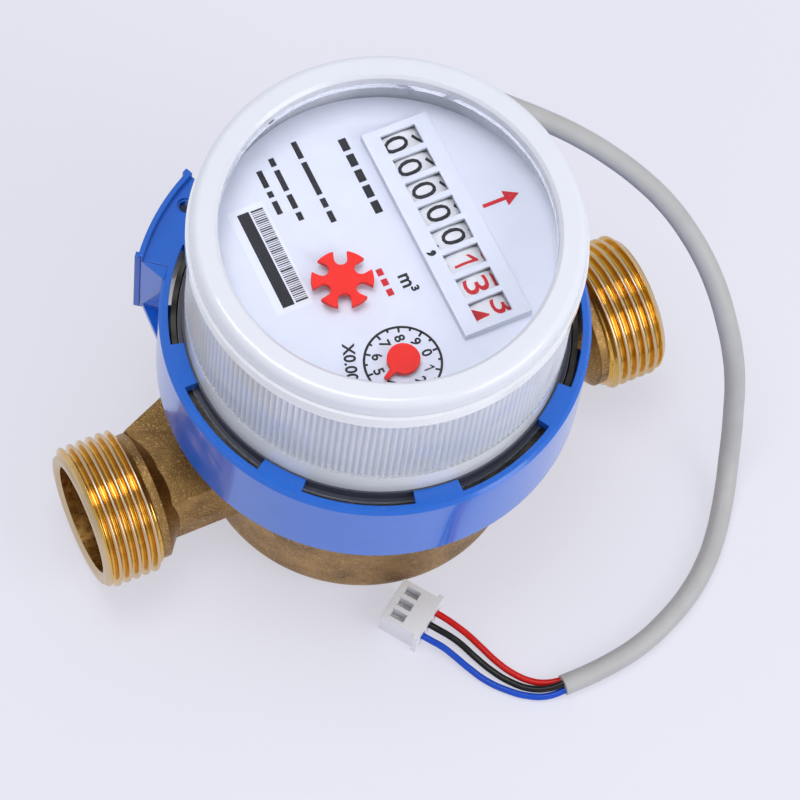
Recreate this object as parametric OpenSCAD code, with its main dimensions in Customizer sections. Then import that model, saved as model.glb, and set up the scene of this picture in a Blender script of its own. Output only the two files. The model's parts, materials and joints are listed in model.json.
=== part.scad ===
// Domestic water meter: a cast brass single-jet body, a clear dry register held by a snap collar,
// a geared roller counter, and a sensor lead with a small plug. Millimetres, +Z up.
// The origin is the middle of the cup's foot, and the water flows along +X.

/* [Brass body] */
// Length over the two pipe ends
pipe_length = 110; // [106:1:130]
// Height of the pipe axis above the foot
axis_height = 16; // [15:0.5:18]
// Diameter over the pipe thread
thread_d = 26.44; // [24:0.02:28]
// Length of each pipe thread
thread_length = 11.2; // [9:0.1:13]
// Width of the relief behind each thread
relief_w = 1.6; // [1:0.1:2]
// Bore of the pipe ends
port_d = 20; // [16:0.5:20]
// Depth of the pipe end bores
port_depth = 11; // [9:0.5:13]
// Bore of the water ways to the chamber
jet_d = 10; // [8:0.5:11]
// Sideways turn of the water ways towards the chamber, in degrees
jet_turn = 14; // [8:1:16]
// Half width of the neck
neck_r = 10; // [9:0.1:11]
// Widening of the neck's far side towards the cup
neck_flare = 8.5; // [6:0.5:10]
// Diameter of the cup
cup_d = 58.4; // [57:0.2:62]
// Round of the cup's lower edge
cup_round = 5; // [3:0.5:6]
// Thickness of the cup's floor
cup_floor = 4.5; // [4:0.1:5]
// Diameter of the rim that carries the register
rim_d = 70; // [69.6:0.2:73]
// Height of the rim's top above the foot
rim_height = 50.9; // [50:0.1:54]
// Height of the rim itself
rim_tall = 11.4; // [10:0.2:12]
// Depth of the register's seat in the rim
seat_depth = 4.4; // [4:0.1:5]

/* [Measuring chamber] */
// Diameter of the chamber
chamber_d = 47; // [44:0.5:48]
// Thickness of the chamber cover
cover_t = 6; // [5:0.1:6.5]
// Gap between impeller and chamber
impeller_gap = 1.2; // [0.8:0.1:2]
// Number of impeller blades
impeller_blades = 8; // [6:1:10]
// Diameter of the impeller's magnet
magnet_d = 13; // [10:0.5:14]
// Height of the impeller's magnet
magnet_h = 4.5; // [3:0.5:5]

/* [Register case] */
// Diameter of the clear barrel over its plain bands
barrel_d = 65.6; // [64.8:0.2:66]
// Wall of the clear barrel
barrel_wall = 2.5; // [2:0.1:2.7]
// Height of the clear barrel up to its shoulder
barrel_h = 34.3; // [33:0.1:38]
// Thickness of the barrel's clamped flange
clamp_t = 2.9; // [2.5:0.1:3.2]
// Number of grip ribs round the barrel
rib_count = 180; // [120:4:200]
// Depth of a grip rib
rib_depth = 0.55; // [0.3:0.05:0.6]
// Diameter of the window
window_d = 56; // [55:0.5:58]
// Thickness of the window
window_t = 3; // [2.5:0.1:3.5]
// Rise of the window above the barrel's shoulder
window_rise = 1.6; // [1.2:0.1:2]
// Height of the white bezel
bezel_h = 3.8; // [3.2:0.1:4.5]
// Depth of the dial below the window
dial_drop = 5; // [4.6:0.1:6]

/* [Collar] */
// Height of the collar
collar_h = 17.2; // [16:0.1:18]
// Wall of the collar at its top
collar_wall = 1.4; // [1.1:0.1:1.8]
// Thickening of the collar towards its foot
collar_draft = 0.1; // [0.1:0.1:1]
// Thickness of the collar's inner lip
lip_t = 2.3; // [2:0.1:2.8]
// Number of slots in the lip
slot_count = 8; // [8:1:8]
// Arc of one slot in degrees
slot_arc = 31.5; // [28:0.5:33]
// Reach of the seal ear beyond the collar
ear_reach = 4.8; // [4.4:0.1:6]
// Arc of the seal ear in degrees
ear_arc = 26; // [24:1:28]
// Diameter of the seal hole
seal_hole_d = 2.2; // [1.6:0.1:2.4]
// Depth of the sink round the seal hole
seal_sink = 0.5; // [0.3:0.1:0.8]

/* [Counter] */
// Number of rollers
roller_count = 8; // [8:1:8]
// Distance from roller to roller
roller_pitch = 4.86; // [4.8:0.02:4.9]
// Diameter of a roller
roller_d = 16.4; // [16:0.1:16.6]
// Width of a roller's rim
roller_w = 3.9; // [3.8:0.05:4]
// Distance of the counter from the middle
counter_x = 11.2; // [11:0.1:11.6]
// Offset of the counter along its own length
counter_y = 0.6; // [0:0.1:1]
// Size of a counter window along the digits' height
peep_x = 6.4; // [5.5:0.1:6.6]
// Size of a counter window across a digit
peep_y = 3.8; // [3.4:0.1:3.9]
// Height of the counter's frame above the dial
frame_h = 1.6; // [1.4:0.1:2]

/* [Gear train] */
// Place of the flow star's arbor along the pipe
star_x = -9.2; // [-9.4:0.1:-9]
// Place of the flow star's arbor across the pipe
star_y = -2.6; // [-2.8:0.1:-2.4]
// Place of the transfer arbor along the pipe
transfer_x = -12; // [-12.2:0.1:-11.8]
// Place of the transfer arbor across the pipe
transfer_y = -12.5; // [-12.7:0.1:-12.3]
// Place of the pointer's arbor along the pipe
pointer_x = -5.9; // [-6.1:0.1:-5.7]
// Place of the pointer's arbor across the pipe
pointer_y = -19.3; // [-19.5:0.1:-19.1]
// Diameter of the flow star
star_d = 10.4; // [9:0.1:11]
// Teeth of the flow star
star_teeth = 6; // [5:1:8]
// Length of the pointer's tip from its axis
pointer_l = 4.7; // [4:0.1:5.2]
// Thickness of the gears
gear_t = 1; // [0.8:0.05:1.1]
// Diameter of the train's arbors
arbor_d = 1.8; // [1.4:0.1:2]

/* [Sensor lead] */
// Diameter of the lead
lead_d = 3.8; // [3.4:0.1:3.9]
// Diameter of a core
core_d = 1.24; // [1:0.02:1.26]
// Distance from contact to contact in the plug
plug_pitch = 2.5; // [2.4:0.05:2.54]
// Height of the plug
plug_h = 5.75; // [5:0.05:6]
// Length of the plug
plug_l = 7.8; // [7:0.1:8.2]

/* [Hidden] */
eps = 0.01;
// Running clearance of a shaft, seat gap of still pieces, and clear gap of moving ones
run_gap = 0.05;
seat_gap = 0.05;
free_gap = 0.3;

// Brass body
pipe_end = pipe_length / 2;
cup_r = cup_d / 2;
rim_r = rim_d / 2;
chamber_r = chamber_d / 2;
rim_z = rim_height - rim_tall;
rim_wall = 0.9;
seat_r = rim_r - rim_wall;
seat_z = rim_height - seat_depth;
throat_r = seat_r - 3.9;
cover_r = chamber_r + 3.7;
cover_z = seat_z - 2.4 - cover_t;
ring_groove = 1.6;
strainer_r = port_d / 2 - 0.6;
strainer_t = 1.4;
neck_x = pipe_end - thread_length - relief_w;
neck_in = cup_r - 8;
neck_inset = 0.3;
shoulder_l = 3.4;
core_r_in = neck_r * 0.75;
relief_r = thread_d / 2 - 1.6;

// Chamber cover with its dome over the magnet, and the impeller below it
dome_wall = 1.4;
dome_r = magnet_d / 2 + 1.2;
dome_top = seat_z - 0.3;
dome_in = dome_top - dome_wall;
cover_pin_r = 0.8;
impeller_r = chamber_r - impeller_gap;
impeller_z = cup_floor + 3;
blade_z = axis_height - jet_d / 2 - 1.5;
blade_h = jet_d + 4;
blade_t = 1.3;
hub_r = 4;
spindle_r = 2.6;
pivot_r = 1;
pivot_in = 1.5;
pivot_tip = axis_height - 2;
magnet_z = dome_in - 0.8 - magnet_h;

// Register case
register_z = seat_z + 1.55;
gasket_t = register_z - seat_z - seat_gap;
gasket_in = seat_r - 3.6;
barrel_r = barrel_d / 2;
barrel_in = barrel_r - barrel_wall;
clamp_r = seat_r - free_gap;
clamp_top = register_z + clamp_t;
shoulder_z = register_z + barrel_h;
window_r = window_d / 2;
window_top = shoulder_z + window_rise;
window_under = window_top - window_t;
brim_h = 2.6;
brim_r = barrel_r + 0.5;
band_low = 7.6;
band_high = 1.4;
rib_tip = barrel_r - 0.1;
rib_root = rib_tip - rib_depth;
rib_z = clamp_top + band_low;
rib_top = shoulder_z - brim_h - band_high;
bezel_r = barrel_r - 0.1;
bezel_in = window_r + seat_gap;
bezel_w = bezel_r - bezel_in;
bezel_round = min(1.5, bezel_w * 0.45);
bezel_chamfer = min(0.6, bezel_w * 0.3);
dial_z = window_under - dial_drop;
dial_t = 1.2;
dial_skin = 0.5;
base_t = 1.5;
can_t = 1.2;
can_wall = 1;
can_r = barrel_in - 0.4;
can_in = can_r - can_wall;
can_z = register_z + base_t + seat_gap;
plate_z = can_z + can_t;
plate_t = 1.2;
plate_r = can_in - 0.3;
floor_z = plate_z + plate_t;

// Collar
lip_z = max(rim_height, clamp_top) + 0.2;
collar_top = lip_z + lip_t;
collar_z = collar_top - collar_h;
collar_gap = 0.7;
collar_in = rim_r + collar_gap;
collar_r = collar_in + collar_wall;
lip_in = barrel_r + 0.4;
slot_first = 15;
slot_pitch = 360 / slot_count;
slot_r = collar_in - 0.2;
hook_r = rim_r - 1.4;
foot_step = 0.4;
hook_h = rim_z - 0.2 - collar_z - foot_step;
ear_r = collar_r + ear_reach;
ear_from = 116;
ear_end = ear_from + ear_arc;
ear_z = collar_z - 0.3;
ear_rim_w = 0.9;
ear_rim_h = 1.3;
ear_rim_top = collar_top + ear_rim_h;
nub_w = 1;
nub_proud = 0.55;
nub_inset = 0.2;
cheek_lean = 4;
ear_hole_angle = ear_from + 7.5;
ear_hole_r = collar_r + 1.5;
seal_sink_r = seal_hole_d / 2 + 0.35;
web_t = 1.4;
web_arc = 10;

// Counter
roller_r = roller_d / 2;
roller_stand = 0.6;
roller_z = dial_z + roller_stand - roller_r;
shaft_r = 0.8;
carry_t = 0.42;
carry_n = 20;
carry_m = 0.7;
pinion_n = 8;
pinion_l = roller_pitch - roller_w - 2 * run_gap;
pinion_drop = carry_m * (carry_n + pinion_n) / 2;
pinion_shaft_r = 0.6;
pinion_z = roller_z - pinion_drop;
counter_half = roller_pitch * roller_count / 2;
worm_n = 10;
worm_gap = 7.6;
worm_throw = 0.45;
worm_r = 1.05;
worm_lead = 2 * PI * 6.2 / worm_n;
worm_h = 9;
wheel_t = 1.2;
wheel_hub_r = 2.4;
wheel_root = worm_gap - worm_r - worm_throw - 0.3;
wheel_tip = worm_gap - worm_r + worm_throw - 0.25;
wheel_y = counter_y - counter_half - 1.6;
worm_pos = [counter_x - worm_gap, wheel_y - wheel_t / 2];
wheel_room = 3.6;
cheek_t = 1.2;
cheek_w = 6;
cheek_low = wheel_y - wheel_t - 0.4 - cheek_t;
cheek_high = counter_y + counter_half + 0.3;
frame_x = 12.1;
frame_y = roller_pitch * roller_count + 1.8;
frame_wall = 0.5;
frame_skin = 0.7;

// Gear train, level by level from the floor plate upwards
star_pos = [star_x, star_y];
transfer_pos = [transfer_x, transfer_y];
pointer_pos = [pointer_x, pointer_y];
drive_n = 10;
star_gear_n = 40;
star_pinion_n = 12;
transfer_gear_n = 30;
transfer_pinion_n = 15;
pointer_gear_n = 30;
counter_gear_n = 24;
arbor_r = arbor_d / 2;
tip_r = 0.5;
level_count = floor_z + 1;
level_star = floor_z + 4;
level_transfer = level_star + gear_t + 1;
level_pointer = level_transfer + gear_t + 1;
bridge_z = level_pointer + gear_t + 1.4;
bridge_t = 1.2;
post_r = 1.2;
posts = [[-15.8, 5.6], [-1.6, -26.3], [-21.5, -8]];
bridge_outline = [
    [1.8, 4], [-14, 8.3], [-18.5, 7], [-24, -7], [-22.5, -11.5], [-6, -27.2], [0.5, -27], [1.8, -14]];
drive_magnet_r = 6;
drive_magnet_h = 2.6;
star_z = dial_z + 1.5;
star_t = 0.9;
star_turn = 10;
hub_skin = 0.4;
needle_z = dial_z + 0.7;
needle_t = 0.8;
needle_r = 2.75;
needle_turn = 206.6;
needle_root = 0.75;
needle_tip = 0.35;
sensor_r = 4.2;
board = [11, 7.5, 1];
board_at = pointer_pos + [-14.1, 1.8];
reed = [3, 1.6, 1.2];
reed_at = [6.5, 1];
pad_r = 0.6;
pad_pitch = 2.2;

// Sensor lead: its outlet on the barrel, its route, its cores and its plug
outlet_turn = 30;
outlet_at = 74.65;
outlet_sink = 1.07;
outlet_rise = 13.95;
outlet_reach = 12;
outlet_from = concat(polar(barrel_r - outlet_sink, outlet_at), [register_z + outlet_rise]);
boss_r = 4;
boss_l = 4.6;
gland_l = 4.2;
gland_r = 3.2;
lead_r = lead_d / 2;
core_r = core_d / 2;
lead_route = [
    [10.1, 31.6, 62], [13.6, 33.6, 62], [17.2, 35.2, 62], [21.1, 35.6, 61.9], [24.9, 34.7, 61.6],
    [28.3, 32.8, 61], [32.5, 29.2, 60.4], [37, 25, 59.6], [42, 20.8, 58], [46.7, 16.6, 56], [51.2, 11.8, 53.5],
    [54.9, 6.6, 51.2], [57.6, 1.4, 49], [59.4, -3.8, 46.5], [60.6, -8.8, 43.5], [61.2, -13.6, 40.1],
    [61.4, -18, 35.9], [61.7, -21.6, 30.3], [61.9, -24.4, 23.3], [61.6, -26.8, 16.1], [60.9, -29.2, 10.2],
    [59.6, -31.9, 6], [57.7, -35.2, 3.5], [55.2, -38.8, 2.2], [52.5, -42.2, 1.9], [48, -46.8, 1.9],
    [42, -51.2, 1.9], [36, -54.2, 1.9], [30, -56.3, 1.9], [24, -57.4, 1.9], [18, -57.8, 1.9],
    [13.6, -57.8, 1.9]];
red_route = [
    [14.6, -56.9, 1.7], [11, -55.9, 1.3], [8.8, -54.4, 1], [6.6, -51.8, 0.9], [4.9, -48.6, 0.9],
    [3.6, -45.2, 1], [2.3, -42.2, 1.5], [1, -40.2, 2.3], [-0.5, -38, 2.9], [-3.3, -34, 2.9]];
black_route = [
    [14.6, -57.8, 2.7], [10.8, -57.2, 1.8], [8, -55.7, 1.2], [5.4, -53, 0.9], [3.3, -49.7, 0.9],
    [1.7, -46.2, 1], [0.3, -43.2, 1.6], [-1, -41.4, 2.4], [-2.6, -39.4, 2.9], [-5.35, -35.45, 2.9]];
blue_route = [
    [14.6, -58.7, 1.7], [10.3, -58.2, 0.9], [7, -56.6, 0.8], [4.2, -54.2, 0.8], [1.7, -51.2, 0.8],
    [-0.2, -47.8, 1], [-1.8, -44.8, 1.7], [-3.1, -42.8, 2.5], [-4.65, -40.85, 2.9], [-7.4, -36.9, 2.9]];
tube_sides = 8;
plug_front = [-8, -31.63];
plug_turn = -55.2;
plug_side = 1.7;
plug_w = 2 * (plug_pitch + plug_side);
plug_flange_w = plug_w + 1.4;
plug_flange_t = 0.9;
core_hole_depth = 3;
core_z = 2.9;

$fn = 48;

// Outline of a gear with slim straight-sided teeth, a tooth on the +X axis
function gear_points(n, m) = [
    for (i = [0 : n - 1]) let (a = 360 / n, r = n * m / 2)
        for (c = [[-0.22, -1], [-0.08, 0.7], [0.08, 0.7], [0.22, -1]])
            (r + c[1] * m) * [cos(a * (i + c[0])), sin(a * (i + c[0]))]];

// Point at a radius and an angle
function polar(r, a) = r * [cos(a), sin(a)];

// Arc in degrees that a length takes up on a radius
function degrees_on(l, r) = 180 * l / (PI * r);

// Angle from one place to another, and the gear module that spans them
function bearing(p, q) = atan2(q[1] - p[1], q[0] - p[0]);
function mesh_m(p, q, n1, n2) = 2 * norm(q - p) / (n1 + n2);

// Rings of a round tube swept along a route
function unit(v) = v / norm(v);
function heading(route, i) =
    unit(route[min(i + 1, len(route) - 1)] - route[max(i - 1, 0)]);
function ring(p, d, r) = let (side = unit(cross(d, [0, 0, 1])), up = cross(side, d))
    [for (k = [0 : tube_sides - 1]) let (a = 360 * (k + 0.5) / tube_sides)
        p + r * (cos(a) * side + sin(a) * up)];

// Solid skinned over a row of rings with as many points each, closed by flat ends
module loft(rings) {
    n = len(rings);
    s = len(rings[0]);
    sides = [for (i = [0 : n - 2], k = [0 : s - 1]) let (a = i * s + k, b = i * s + (k + 1) % s)
        each [[a, a + s, b], [b, a + s, b + s]]];
    caps = [[for (k = [0 : s - 1]) k], [for (k = [s - 1 : -1 : 0]) (n - 1) * s + k]];
    polyhedron([for (r = rings) each r], concat(sides, caps));
}

// Round tube along a route
module tube(route, r) {
    loft([for (i = [0 : len(route) - 1]) ring(route[i], heading(route, i), r)]);
}

module disc(r, z, h) { translate([0, 0, z]) cylinder(r = r, h = h); }
module at(p) { translate([p[0], p[1], 0]) children(); }

module gear(n, m, z, h, turn) {
    translate([0, 0, z]) rotate(turn) linear_extrude(h) polygon(gear_points(n, m));
}

// Vertical arbor with thin tips that run in the plates below and above it
module arbor(z0, z1, low_tip, high_tip) {
    disc(arbor_r, z0, z1 - z0);
    disc(tip_r, z0 - low_tip, low_tip + eps);
    if (high_tip > 0) disc(tip_r, z1 - eps, high_tip + eps);
}

// Sector of a revolved rectangle
module sector(r0, r1, z0, z1, from, arc) {
    rotate(from) rotate_extrude(angle = arc, $fn = 96)
        translate([r0, z0]) square([r1 - r0, z1 - z0]);
}

// Brass body

// Section of the neck across the pipe: a ridge on top, three near facets and a far side that flares
function neck_section(flare) = neck_r * [
    [0, 0.92], [-0.64, 0.66], [-0.82, 0.05], [-0.84, -0.35], [-0.52, -0.84], [0.52, -0.84],
    [1.05 + flare / neck_r, -0.5], [1.2 + flare / neck_r, 0.05], [1 + flare / neck_r, 0.7]];

module neck() {
    loft([for (end = [[neck_in, neck_flare], [neck_x - neck_inset, 0]])
        [for (p = neck_section(end[1])) [end[0], p[0], axis_height + p[1]]]]);
}

// Turned pipe end: a shoulder that grows out of the neck, the relief and the thread's blank
module thread_blank() {
    r = thread_d / 2;
    chamfer = 1;
    translate([0, 0, axis_height]) rotate([0, 90, 0]) rotate_extrude() polygon([
        [0, neck_in], [core_r_in, neck_in], [core_r_in, neck_x - shoulder_l], [relief_r, neck_x],
        [relief_r, neck_x + relief_w], [r, neck_x + relief_w], [r, pipe_end - chamfer], [r - chamfer, pipe_end],
        [0, pipe_end]]);
}

module water_way() {
    translate([pipe_end - port_depth, 0, axis_height]) rotate([0, 90, 0])
        cylinder(d = port_d, h = port_depth + 1);
    translate([pipe_end - port_depth - strainer_t, 0, axis_height]) rotate([0, 90, 0])
        cylinder(r = strainer_r, h = strainer_t + eps);
    translate([pipe_end - port_depth, 0, axis_height]) rotate([0, 0, 180 - jet_turn]) rotate([0, 90, 0])
        cylinder(d = jet_d, h = pipe_end - port_depth - chamber_r * 0.6);
}

module brass_body() {
    foot_r = cup_r - cup_round;
    groove_r = rim_r - 2.6;
    flare_z = rim_z - 4;
    color("goldenrod") difference() {
        union() {
            rotate_extrude($fn = 96) {
                polygon([
                    [0, 0], [foot_r, 0], [foot_r, cup_round], [cup_r, cup_round],
                    [cup_r, flare_z - (groove_r - cup_r)], [groove_r, flare_z], [groove_r, rim_z],
                    [rim_r, rim_z], [rim_r, rim_height], [0, rim_height]]);
                translate([foot_r, cup_round]) circle(cup_round);
            }
            for (side = [0, 1]) mirror([side, 0, 0]) {
                neck();
                thread_blank();
            }
        }
        disc(chamber_r, cup_floor, rim_height);
        disc(cover_r, cover_z, rim_height);
        disc(throat_r, cover_z + cover_t, rim_height);
        disc(seat_r, seat_z, rim_height);
        disc(pivot_r, cup_floor - pivot_in, rim_height);
        for (side = [0, 1]) mirror([side, 0, 0]) water_way();
    }
}

// Ring with a crossed basket that stands in the inlet behind the bore
module inlet_strainer() {
    outer = strainer_r - seat_gap;
    inner = outer - 1.4;
    bar_pitch = inner / 2.6;
    t = strainer_t;
    color("dimgray") translate([-(pipe_end - port_depth), 0, axis_height]) rotate([0, 90, 0]) {
        difference() {
            cylinder(r = outer, h = t);
            translate([0, 0, -eps]) cylinder(r = inner, h = t + 1);
        }
        for (k = [-2 : 2]) let (y = k * bar_pitch, half = sqrt(inner * inner - y * y) + 0.4)
            translate([y - 0.4, -half, 0]) cube([0.8, 2 * half, t]);
        for (k = [-2 : 2]) let (x = k * bar_pitch, half = sqrt(inner * inner - x * x) + 0.4)
            translate([-half, x - 0.4, 0]) cube([2 * half, 0.8, t]);
    }
}

module impeller_pivot() {
    color("silver") rotate_extrude() polygon([
        [0, cup_floor - pivot_in], [pivot_r, cup_floor - pivot_in], [pivot_r, pivot_tip - pivot_r],
        [pivot_r / 3, pivot_tip], [0, pivot_tip]]);
}

module impeller() {
    blade_top = blade_z + blade_h;
    spindle_top = magnet_z + magnet_h;
    color("ivory") difference() {
        union() {
            rotate_extrude() polygon([
                [0, impeller_z], [hub_r, impeller_z], [hub_r, blade_top + 0.5], [spindle_r, blade_top + 0.5],
                [spindle_r, spindle_top], [0, spindle_top]]);
            for (i = [0 : impeller_blades - 1]) rotate(360 * i / impeller_blades)
                translate([hub_r - 1, -blade_t / 2, blade_z]) cube([impeller_r - hub_r + 1, blade_t, blade_h]);
        }
        disc(pivot_r + run_gap, impeller_z - 1, pivot_tip + run_gap - impeller_z + 1);
        disc(cover_pin_r + run_gap, magnet_z, magnet_h + 1);
    }
}

module impeller_magnet() {
    color("dimgray") difference() {
        disc(magnet_d / 2, magnet_z, magnet_h);
        disc(spindle_r, magnet_z - 1, magnet_h + 2);
    }
}

// Cover with a dome that parts the wet side from the dry side
module chamber_cover() {
    color("slategray") difference() {
        union() {
            disc(cover_r - 0.1, cover_z + seat_gap, cover_t);
            disc(dome_r + dome_wall, cover_z + 1, dome_top - cover_z - 1);
        }
        difference() {
            disc(dome_r, cover_z - 1, dome_in - cover_z + 1);
            disc(cover_pin_r, magnet_z + 1.5, dome_in);
        }
        rotate_extrude($fn = 96) translate([chamber_r + 1.1, cover_z]) square([ring_groove, ring_groove]);
    }
}

module cover_o_ring() {
    color("black") rotate_extrude($fn = 64)
        translate([chamber_r + 1.1 + ring_groove / 2, cover_z + ring_groove / 2 + seat_gap])
            circle(ring_groove / 2 - seat_gap, $fn = 24);
}

module register_gasket() {
    color("black") difference() {
        disc(seat_r - 0.1, seat_z, gasket_t);
        disc(gasket_in, seat_z - 1, gasket_t + 2);
    }
}

// Collar

module collar_ring() {
    rotate_extrude($fn = 120) polygon([
        [collar_in, collar_z], [collar_r + collar_draft, collar_z], [collar_r, collar_top - 0.6],
        [collar_r - 0.6, collar_top], [lip_in, collar_top], [lip_in, lip_z], [collar_in, lip_z]]);
}

// Seal ear: a hollow block on the collar with a raised outer edge, end walls and a web along its foot
module ear() {
    wall = ear_rim_w;
    edge = degrees_on(wall, ear_r);
    nub = degrees_on(nub_w, ear_r);
    difference() {
        rotate(ear_from) rotate_extrude(angle = ear_arc, $fn = 96) polygon([
            [collar_r - 0.8, ear_z], [ear_r, ear_z], [ear_r, ear_rim_top],
            [ear_r - wall, ear_rim_top], [ear_r - wall, collar_top], [collar_r - 0.8, collar_top]]);
        sector(collar_r - 0.4, ear_r - wall, ear_z - 1, lip_z, ear_from + edge, ear_arc - 2 * edge);
    }
    for (a = [ear_from - nub_inset, ear_end + nub_inset - nub])
        sector(ear_r - wall / 2, ear_r + nub_proud, ear_z + nub_inset, ear_rim_top - nub_inset, a, nub);
    ear_cheek(ear_r - wall / 2);
    translate([0, 0, ear_z + nub_inset]) linear_extrude(web_t) polygon([
        polar(ear_r - wall / 2, ear_end - 1), polar(collar_r - 0.2, ear_end + web_arc),
        polar(collar_r - 0.5, ear_end - 1)]);
}

// Front face of the ear, which leans back along the collar towards its top
module ear_cheek(r) {
    hull() for (level = [[ear_z + 2 * nub_inset, 0.5], [collar_top - nub_inset, cheek_lean]])
        translate([0, 0, level[0]]) linear_extrude(eps) polygon([
            polar(r, ear_end - 1), polar(r, ear_end), polar(collar_r - 0.3, ear_end + level[1]),
            polar(collar_r - 0.5, ear_end - 1)]);
}

module snap_ring() {
    color("royalblue") difference() {
        union() {
            collar_ring();
            ear();
            for (k = [0 : slot_count - 1])
                sector(hook_r, collar_in + 0.5, collar_z + foot_step, collar_z + foot_step + hook_h,
                       slot_first + k * slot_pitch - slot_arc / 4, slot_arc / 2);
        }
        for (k = [0 : slot_count - 1])
            sector(lip_in - 1, slot_r, lip_z - 1, collar_top + 1,
                   slot_first + k * slot_pitch - slot_arc / 2, slot_arc);
        rotate(ear_hole_angle) translate([ear_hole_r, 0, lip_z - 1]) {
            cylinder(d = seal_hole_d, h = lip_t + 2);
            translate([0, 0, lip_t + 1 - seal_sink]) cylinder(r = seal_sink_r, h = 1);
        }
    }
}

// Register case

module register_base() {
    color("gainsboro") disc(barrel_in - 0.1, register_z, base_t);
}

module movement_can() {
    color("white") difference() {
        disc(can_r, can_z, dial_z - dial_t - can_z);
        disc(can_in, can_z + can_t, dial_z);
        outlet(lead_r + 0.6, -outlet_reach, outlet_reach);
    }
}

module rib_band() {
    a = 180 / rib_count;
    translate([0, 0, rib_z]) linear_extrude(rib_top - rib_z) difference() {
        polygon([for (i = [0 : 2 * rib_count - 1]) polar(i % 2 == 0 ? rib_tip : rib_root, a * i)]);
        circle(barrel_in + 0.6, $fn = 120);
    }
}

// Round bar along the lead's outlet, measured from the barrel's face
module outlet(r, from, l) {
    translate(outlet_from) rotate(outlet_turn) rotate([0, 90, 0]) disc(r, from, l);
}

module clear_cover() {
    wall_r = rib_root - 0.05;
    color("lightcyan", 0.5) difference() {
        union() {
            rotate_extrude($fn = 120) polygon([
                [0, window_under], [barrel_in, window_under], [barrel_in, register_z],
                [clamp_r, register_z], [clamp_r, clamp_top], [barrel_r, clamp_top], [barrel_r, rib_z],
                [wall_r, rib_z], [wall_r, rib_top], [barrel_r, rib_top], [barrel_r, shoulder_z - brim_h],
                [brim_r, shoulder_z - brim_h], [brim_r, shoulder_z], [window_r, shoulder_z],
                [window_r, window_top], [0, window_top]]);
            rib_band();
            difference() {
                outlet(boss_r, 0, boss_l);
                disc(wall_r - 0.5, register_z, barrel_h);
            }
        }
        outlet(lead_r + 0.3, -outlet_reach, outlet_reach + boss_l + 1);
    }
}

module bezel_ring() {
    z1 = shoulder_z + bezel_h;
    round_r = bezel_r - bezel_round;
    round_z = z1 - bezel_round;
    color("white") rotate_extrude($fn = 120) {
        polygon([
            [bezel_in, shoulder_z], [bezel_r, shoulder_z], [bezel_r, round_z], [round_r, round_z],
            [round_r, z1], [bezel_in + bezel_chamfer, z1], [bezel_in, z1 - bezel_chamfer]]);
        translate([round_r, round_z]) circle(bezel_round, $fn = 32);
    }
}

module dial_plate() {
    frame_mid = [counter_x, counter_y];
    color("whitesmoke") difference() {
        union() {
            disc(can_r - 0.3, dial_z - dial_t, dial_t);
            translate([frame_mid[0] - frame_x / 2, frame_mid[1] - frame_y / 2, dial_z - eps])
                cube([frame_x, frame_y, frame_h + eps]);
            at(worm_pos) disc(1.8, dial_z - dial_t - 1.4, 1.5);
        }
        translate([frame_mid[0] - frame_x / 2 + frame_wall, frame_mid[1] - frame_y / 2 + frame_wall, dial_z - 3])
            cube([frame_x - 2 * frame_wall, frame_y - 2 * frame_wall, frame_h + 3 - frame_skin]);
        for (i = [1 : roller_count])
            translate([counter_x - peep_x / 2, roller_y(i) - peep_y / 2, dial_z - 1])
                cube([peep_x, peep_y, frame_h + 2]);
        for (p = [star_pos, pointer_pos]) at(p) disc(arbor_r + free_gap, dial_z - 2, 3);
        translate([counter_x - wheel_room, cheek_low + cheek_t, dial_z - 3])
            cube([2 * wheel_room, wheel_t + 0.8, 3 - dial_skin]);
        at(worm_pos) disc(tip_r + run_gap, dial_z - 4, 3.4);
    }
}

// Gear train

module gear_frame() {
    cheek_top = roller_z + 3.5;
    color("darkkhaki") difference() {
        union() {
            disc(plate_r, plate_z, plate_t);
            for (p = posts) at(p) disc(post_r, floor_z - eps, bridge_z - floor_z + eps);
            for (y = [cheek_low, cheek_high])
                translate([counter_x - 2, y, floor_z - eps]) cube([cheek_w, cheek_t, cheek_top - floor_z]);
        }
        for (p = [[0, 0], star_pos, transfer_pos, pointer_pos, worm_pos])
            at(p) disc(tip_r + run_gap, plate_z + 0.3, plate_t);
        translate([counter_x, cheek_low - 1, roller_z]) rotate([-90, 0, 0])
            cylinder(r = shaft_r, h = cheek_high - cheek_low + cheek_t + 2);
        translate([counter_x, cheek_low - 1, pinion_z]) rotate([-90, 0, 0])
            cylinder(r = pinion_shaft_r, h = cheek_high - cheek_low + cheek_t + 2);
    }
}

module train_bridge() {
    color("goldenrod") difference() {
        translate([0, 0, bridge_z]) linear_extrude(bridge_t) polygon(bridge_outline);
        for (p = [[0, 0], transfer_pos]) at(p) disc(tip_r + run_gap, bridge_z - 1, 4);
        for (p = [star_pos, pointer_pos]) at(p) disc(arbor_r + run_gap, bridge_z - 1, 4);
    }
}

module drive_arbor() {
    color("ivory") {
        arbor(floor_z + 0.2, bridge_z - 0.2, 0.8, 1);
        gear(drive_n, mesh_m([0, 0], star_pos, drive_n, star_gear_n), level_star - 0.3, gear_t + 0.6,
             bearing([0, 0], star_pos));
    }
}

module drive_magnet() {
    color("dimgray") difference() {
        disc(drive_magnet_r, floor_z + 0.5, drive_magnet_h);
        disc(arbor_r, floor_z, drive_magnet_h + 2);
    }
}

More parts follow.
